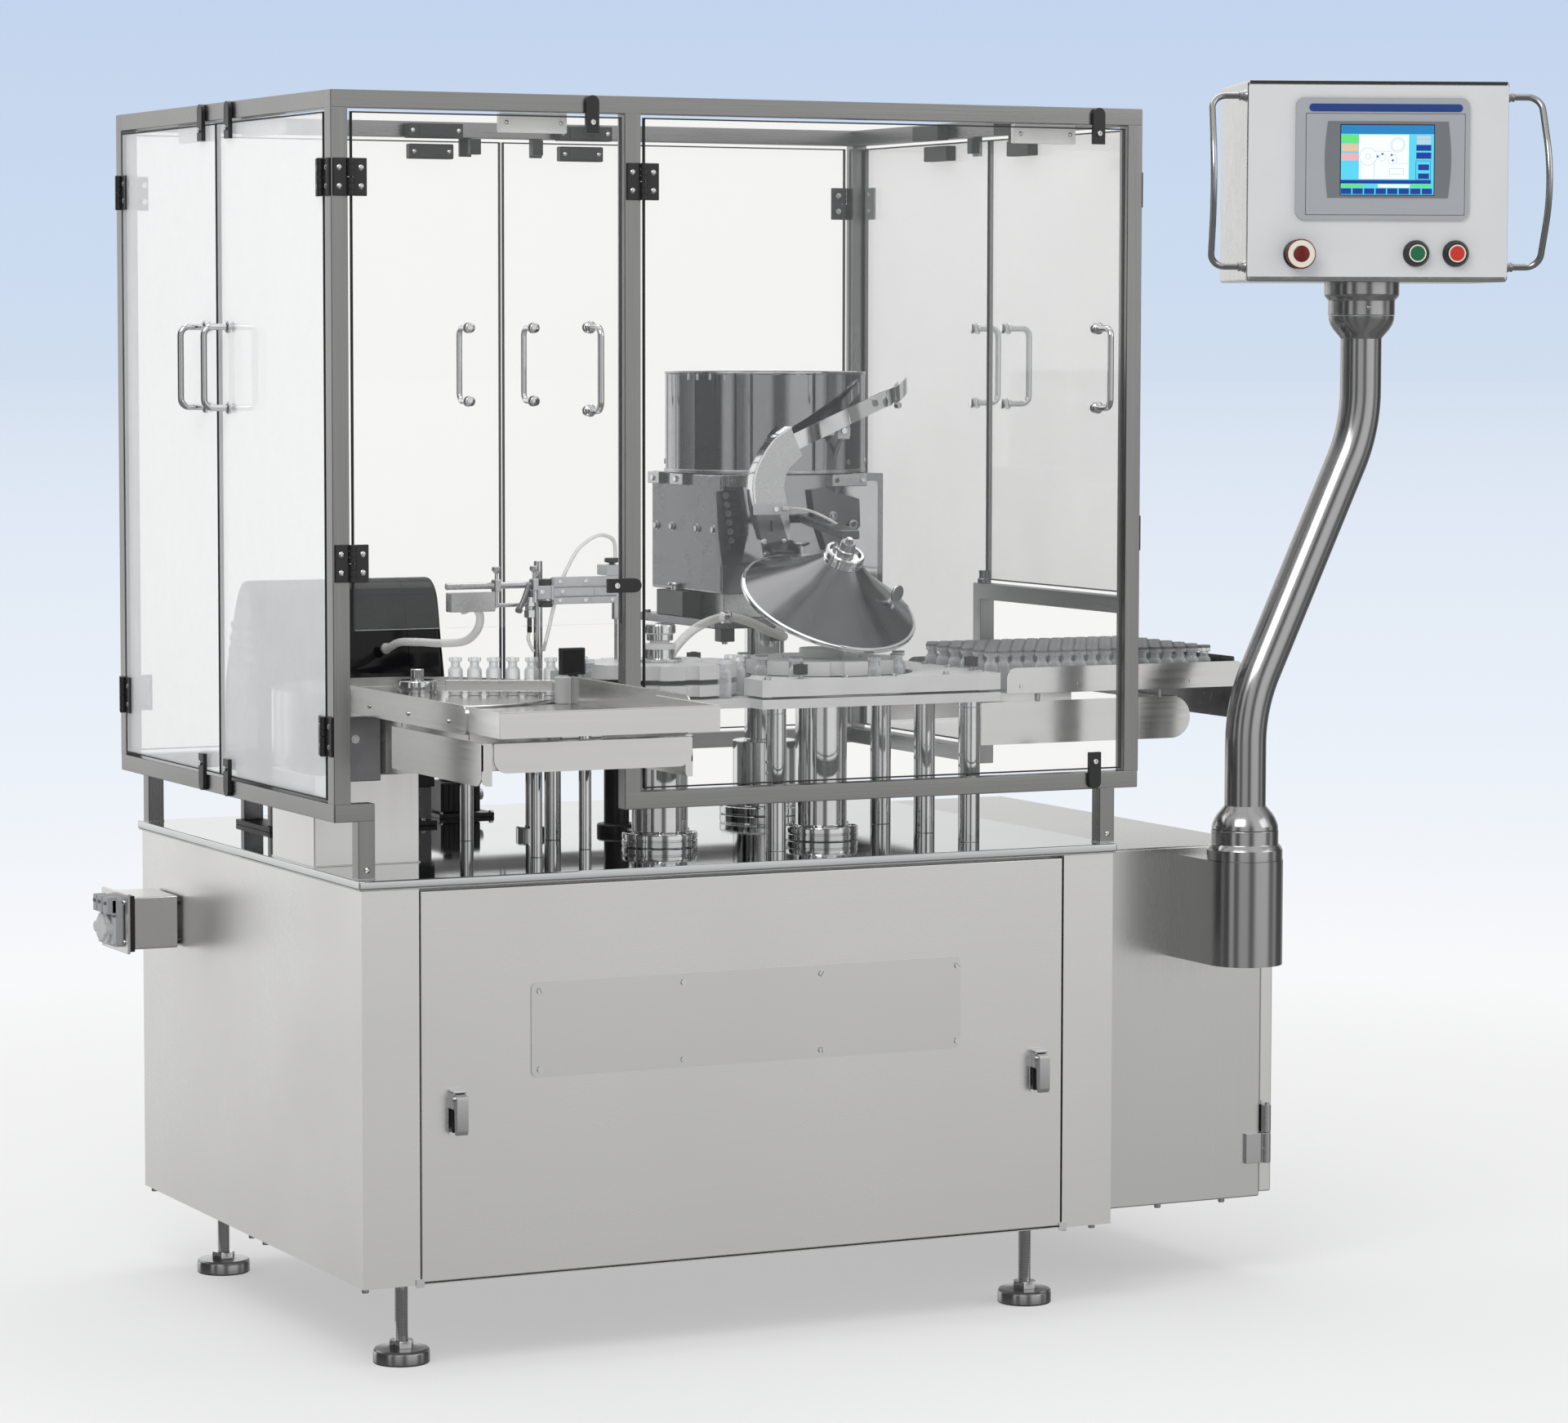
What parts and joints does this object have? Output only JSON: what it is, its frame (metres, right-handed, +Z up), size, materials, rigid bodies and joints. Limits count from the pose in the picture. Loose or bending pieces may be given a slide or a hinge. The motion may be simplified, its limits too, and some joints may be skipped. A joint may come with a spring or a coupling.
{
  "type": "vial filling and capping monoblock",
  "caption": "Floor-standing vial filling and stoppering machine: steel cabinet, clear hinged guard, turntable infeed, starwheels, stopper bowl and swing-arm operator terminal.",
  "frame": {"origin": "on the floor, under the middle of the whole machine's bounding box", "axes": "+X along the vial travel, infeed to outfeed; +Y from the operator's side to the back; +Z up"},
  "size_m": [1.9842, 1.3308, 1.8655],
  "materials": {
    "cabinet_steel": "brushed",
    "panel_steel": "brushed",
    "plate_steel": "brushed",
    "latch_black": "moulded",
    "table_steel": "mirror polished plate",
    "foot_steel": "brushed",
    "switch_grey": "moulded",
    "guard_steel": "brushed",
    "fitting_black": "moulded",
    "tray_steel": "brushed",
    "disc_steel": "brushed",
    "pump_black": "glossy black cover",
    "column_chrome": "polished and ground steel",
    "wheel_white": "machined white plastic",
    "bowl_steel": "brushed",
    "cover_steel": "brushed",
    "chute_steel": "brushed",
    "cone_steel": "brushed",
    "arm_steel": "brushed",
    "terminal_white": "white enamel",
    "bezel_grey": "moulded",
    "button_black": "moulded",
    "handle_chrome": "moulded",
    "clear_pane": "clear polycarbonate sheet with polished edges"
  },
  "bodies": {
    "machine": {"base_cabinet": "cabinet_steel", "front_access_panel": "panel_steel", "name_plate": "plate_steel", "panel_latches": "latch_black", "table_plate": "table_steel", "leveling_feet": "foot_steel", "electrical_cabinet": "cabinet_steel", "disconnect_box": "panel_steel", "disconnect_switch": "switch_grey", "guard_posts": "guard_steel", "guard_upper_rails": "guard_steel", "guard_lower_rails": "guard_steel", "guard_legs": "guard_steel", "fixed_hinge_leaves": "fitting_black", "interlock_switches": "fitting_black", "infeed_tray": "tray_steel", "infeed_side_rails": "tray_steel", "turntable_housing": "panel_steel", "infeed_guides": "tray_steel", "infeed_pedestal": "panel_steel", "filling_pump": "pump_black", "drive_columns": "column_chrome", "support_posts": "column_chrome", "guide_plates": "wheel_white", "outfeed_tray": "tray_steel", "stopper_bowl": "bowl_steel", "bowl_drive_cover": "cover_steel", "bowl_mount_plate": "panel_steel", "stopper_chute": "chute_steel", "stopper_cone": "cone_steel", "cone_bracket": "panel_steel", "filling_head": "tray_steel", "arm_housing": "arm_steel"},
    "electrical_cabinet_door": {"electrical_cabinet_door": "cabinet_steel"},
    "infeed_disc": {"infeed_disc": "disc_steel"},
    "starwheel": {"starwheel": "wheel_white"},
    "capping_dial": {"capping_dial": "wheel_white"},
    "swing_arm": {"terminal_arm": "arm_steel"},
    "operator_terminal": {"terminal_box": "terminal_white", "operator_screen": "bezel_grey", "push_buttons": "button_black", "terminal_handles": "handle_chrome"},
    "front_left_guard_door": {"front_left_door": "clear_pane", "front_left_door_fittings": "fitting_black"},
    "front_right_guard_door": {"front_right_door": "clear_pane", "front_right_door_fittings": "fitting_black"},
    "left_front_guard_door": {"left_front_door": "clear_pane", "left_front_door_fittings": "fitting_black"},
    "left_rear_guard_door": {"left_rear_door": "clear_pane", "left_rear_door_fittings": "fitting_black"},
    "back_left_guard_door": {"back_left_door": "clear_pane", "back_left_door_fittings": "fitting_black"},
    "back_right_guard_door": {"back_right_door": "clear_pane", "back_right_door_fittings": "fitting_black"},
    "right_rear_guard_door": {"right_rear_door": "clear_pane", "right_rear_door_fittings": "fitting_black"},
    "right_front_guard_door": {"right_front_door": "clear_pane", "right_front_door_fittings": "fitting_black"}
  },
  "joints": [
    {"name": "front_left_door_hinge", "type": "hinge", "parent": "machine", "child": "front_left_guard_door", "pos_m": [-0.88457, -0.3254, 1.43], "axis": [0, 0, -1], "range_deg": [0, 90]},
    {"name": "front_right_door_hinge", "type": "hinge", "parent": "machine", "child": "front_right_guard_door", "pos_m": [-0.43567, -0.3254, 1.33], "axis": [0, 0, -1], "range_deg": [0, 90]},
    {"name": "left_front_door_hinge", "type": "hinge", "parent": "machine", "child": "left_front_guard_door", "pos_m": [-0.91787, -0.2921, 1.33], "axis": [0, 0, 1], "range_deg": [0, 90]},
    {"name": "left_rear_door_hinge", "type": "hinge", "parent": "machine", "child": "left_rear_guard_door", "pos_m": [-0.91787, 0.5926, 1.33], "axis": [0, 0, -1], "range_deg": [0, 90]},
    {"name": "back_left_door_hinge", "type": "hinge", "parent": "machine", "child": "back_left_guard_door", "pos_m": [-0.88457, 0.6259, 1.33], "axis": [0, 0, 1], "range_deg": [0, 90]},
    {"name": "back_right_door_hinge", "type": "hinge", "parent": "machine", "child": "back_right_guard_door", "pos_m": [0.36513, 0.6259, 1.33], "axis": [0, 0, -1], "range_deg": [0, 90]},
    {"name": "right_rear_door_hinge", "type": "hinge", "parent": "machine", "child": "right_rear_guard_door", "pos_m": [0.39843, 0.5926, 1.33], "axis": [0, 0, 1], "range_deg": [0, 90]},
    {"name": "right_front_door_hinge", "type": "hinge", "parent": "machine", "child": "right_front_guard_door", "pos_m": [0.39843, -0.2921, 1.43], "axis": [0, 0, -1], "range_deg": [0, 45]},
    {"name": "electrical_door_hinge", "type": "hinge", "parent": "machine", "child": "electrical_cabinet_door", "pos_m": [0.67993, -0.2364, 0.409], "axis": [0, 0, -1], "range_deg": [0, 110]},
    {"name": "infeed_disc_spin", "type": "hinge", "parent": "machine", "child": "infeed_disc", "pos_m": [-0.64007, 0.0456, 0.942], "axis": [0, 0, 1], "continuous": true},
    {"name": "starwheel_spin", "type": "hinge", "parent": "machine", "child": "starwheel", "pos_m": [-0.29377, -0.0694, 0.968], "axis": [0, 0, 1], "continuous": true},
    {"name": "capping_dial_spin", "type": "hinge", "parent": "machine", "child": "capping_dial", "pos_m": [-0.02837, -0.0824, 0.968], "axis": [0, 0, 1], "continuous": true},
    {"name": "arm_swivel", "type": "hinge", "parent": "machine", "child": "swing_arm", "pos_m": [0.56193, -0.3554, 0.727], "axis": [0, 0, 1], "range_deg": [-45, 0]},
    {"name": "terminal_swivel", "type": "hinge", "parent": "swing_arm", "child": "operator_terminal", "pos_m": [0.76293, -0.3554, 1.513], "axis": [0, 0, 1], "range_deg": [-45, 30]}
  ],
  "couplings": [
    {"joint": "capping_dial_spin", "follows": "starwheel_spin", "ratio": -1}
  ]
}
